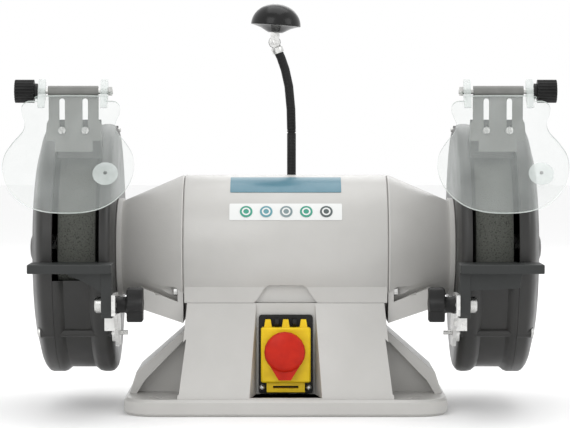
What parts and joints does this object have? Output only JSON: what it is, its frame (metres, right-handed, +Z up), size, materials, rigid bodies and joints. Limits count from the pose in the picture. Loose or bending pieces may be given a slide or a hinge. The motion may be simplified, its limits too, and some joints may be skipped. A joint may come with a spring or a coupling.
{
  "type": "bench grinder",
  "caption": "Double-ended bench grinder on a cast pedestal, with guarded wheels, clear eye shields, tool rests, hooded switch and gooseneck lamp.",
  "frame": {"origin": "centre of the pedestal's underside, on the bench", "axes": "+X to the right of the person using it, along the wheel shaft; +Y away from them; +Z up"},
  "size_m": [0.59, 0.317, 0.4439],
  "materials": {
    "light_cast": "satin light grey enamel on a fine iron casting",
    "dark_paint": "semi-gloss dark grey enamel",
    "black_steel": "very dark satin paint on steel",
    "grey_plate": "mid grey satin paint on sheet steel",
    "steel": "bright turned steel",
    "zinc": "zinc plated sheet steel",
    "stone": "coarse bonded abrasive grain, matt grey with a green cast",
    "clear_plastic": "clear acrylic with bright polished edges",
    "black_plastic": "moulded black plastic",
    "black_neck": "black sleeved flexible conduit",
    "gloss_black": "glossy black",
    "yellow_plastic": "moulded yellow plastic",
    "red_plastic": "moulded red plastic",
    "green_plastic": "moulded green plastic",
    "copper": "varnished copper windings",
    "opal": "opal diffuser"
  },
  "bodies": {
    "root": {"pedestal": "light_cast", "base_cover": "zinc", "cable_gland": "black_plastic", "motor_housing": "light_cast", "stator": "copper", "switch_plate": "black_plastic", "switch_body": "black_plastic", "gooseneck_lower": "black_neck", "end_bell_left": "light_cast", "bearing_left": "steel", "tie_bolt_front_left": "steel", "tie_bolt_rear_left": "steel", "guard_body_left": "dark_paint", "guard_cover_left": "dark_paint", "guard_bolt_left_1": "steel", "guard_bolt_left_2": "steel", "guard_bolt_left_3": "steel", "rest_bracket_left": "zinc", "arrester_screw_left_1": "steel", "arrester_screw_left_2": "steel", "end_bell_right": "light_cast", "bearing_right": "steel", "tie_bolt_front_right": "steel", "tie_bolt_rear_right": "steel", "guard_body_right": "dark_paint", "guard_cover_right": "dark_paint", "guard_bolt_right_1": "steel", "guard_bolt_right_2": "steel", "guard_bolt_right_3": "steel", "rest_bracket_right": "zinc", "arrester_screw_right_1": "steel", "arrester_screw_right_2": "steel"},
    "rotor": {"shaft": "steel", "rotor_core": "steel", "wheel_left": "stone", "inner_flange_left": "dark_paint", "outer_flange_left": "dark_paint", "wheel_nut_left": "steel", "wheel_right": "stone", "inner_flange_right": "dark_paint", "outer_flange_right": "dark_paint", "wheel_nut_right": "steel"},
    "spark_arrester_left": {"spark_arrester_left": "grey_plate"},
    "eye_shield_left": {"eye_shield_left": "clear_plastic"},
    "shield_knob_left": {"shield_knob_left": "black_plastic"},
    "tool_rest_left": {"tool_rest_left": "black_steel"},
    "rest_stud_left": {"rest_stud_left": "steel"},
    "rest_knob_left": {"rest_knob_left": "black_plastic"},
    "spark_arrester_right": {"spark_arrester_right": "grey_plate"},
    "eye_shield_right": {"eye_shield_right": "clear_plastic"},
    "shield_knob_right": {"shield_knob_right": "black_plastic"},
    "tool_rest_right": {"tool_rest_right": "black_steel"},
    "rest_stud_right": {"rest_stud_right": "steel"},
    "rest_knob_right": {"rest_knob_right": "black_plastic"},
    "switch_cover": {"switch_cover": "yellow_plastic"},
    "stop_button": {"stop_button": "red_plastic"},
    "start_button": {"start_button": "green_plastic"},
    "lamp_neck": {"gooseneck_upper": "black_neck"},
    "lamp_head": {"lamp_shade": "gloss_black", "lamp_bulb": "opal"}
  },
  "joints": [
    {"name": "rotor_spin", "type": "hinge", "parent": "root", "child": "rotor", "pos_m": [0, 0, 0.173], "axis": [1, 0, 0], "continuous": true},
    {"name": "arrester_slide_left", "type": "slide", "parent": "root", "child": "spark_arrester_left", "axis": [0, 0, 1], "range_m": [-0.018, 0]},
    {"name": "shield_tilt_left", "type": "hinge", "parent": "spark_arrester_left", "child": "eye_shield_left", "pos_m": [-0.225, -0.0985, 0.344], "axis": [1, 0, 0], "range_deg": [-110, 0]},
    {"name": "shield_knob_turn_left", "type": "hinge", "parent": "spark_arrester_left", "child": "shield_knob_left", "pos_m": [-0.225, -0.0985, 0.344], "axis": [1, 0, 0], "continuous": true},
    {"name": "rest_slide_left", "type": "slide", "parent": "root", "child": "rest_stud_left", "axis": [0, -1, 0], "range_m": [0, 0.012]},
    {"name": "rest_tilt_left", "type": "hinge", "parent": "rest_stud_left", "child": "tool_rest_left", "pos_m": [-0.18, -0.157, 0.122], "axis": [1, 0, 0], "range_deg": [0, 30]},
    {"name": "rest_knob_turn_left", "type": "hinge", "parent": "rest_stud_left", "child": "rest_knob_left", "pos_m": [-0.157, -0.157, 0.122], "axis": [1, 0, 0], "continuous": true},
    {"name": "arrester_slide_right", "type": "slide", "parent": "root", "child": "spark_arrester_right", "axis": [0, 0, 1], "range_m": [-0.018, 0]},
    {"name": "shield_tilt_right", "type": "hinge", "parent": "spark_arrester_right", "child": "eye_shield_right", "pos_m": [0.225, -0.0985, 0.344], "axis": [1, 0, 0], "range_deg": [-110, 0]},
    {"name": "shield_knob_turn_right", "type": "hinge", "parent": "spark_arrester_right", "child": "shield_knob_right", "pos_m": [0.225, -0.0985, 0.344], "axis": [1, 0, 0], "continuous": true},
    {"name": "rest_slide_right", "type": "slide", "parent": "root", "child": "rest_stud_right", "axis": [0, -1, 0], "range_m": [0, 0.012]},
    {"name": "rest_tilt_right", "type": "hinge", "parent": "rest_stud_right", "child": "tool_rest_right", "pos_m": [0.18, -0.157, 0.122], "axis": [1, 0, 0], "range_deg": [0, 30]},
    {"name": "rest_knob_turn_right", "type": "hinge", "parent": "rest_stud_right", "child": "rest_knob_right", "pos_m": [0.157, -0.157, 0.122], "axis": [1, 0, 0], "continuous": true},
    {"name": "switch_cover_open", "type": "hinge", "parent": "root", "child": "switch_cover", "pos_m": [0, -0.0775, 0.0967], "axis": [1, 0, 0], "range_deg": [-95, 0]},
    {"name": "stop_press", "type": "slide", "parent": "switch_cover", "child": "stop_button", "axis": [0, 1, 0], "range_m": [0, 0.0045], "stiffness_N_per_m": 900},
    {"name": "start_press", "type": "slide", "parent": "root", "child": "start_button", "axis": [0, 1, 0], "range_m": [0, 0.004], "stiffness_N_per_m": 600},
    {"name": "gooseneck_bend", "type": "hinge", "parent": "root", "child": "lamp_neck", "pos_m": [0.0065, 0.068, 0.3], "axis": [0, 1, 0], "range_deg": [-35, 35]},
    {"name": "lamp_tilt", "type": "hinge", "parent": "lamp_neck", "child": "lamp_head", "pos_m": [-0.0125, 0.068, 0.4005], "axis": [0, 1, 0], "range_deg": [-45, 45]}
  ]
}
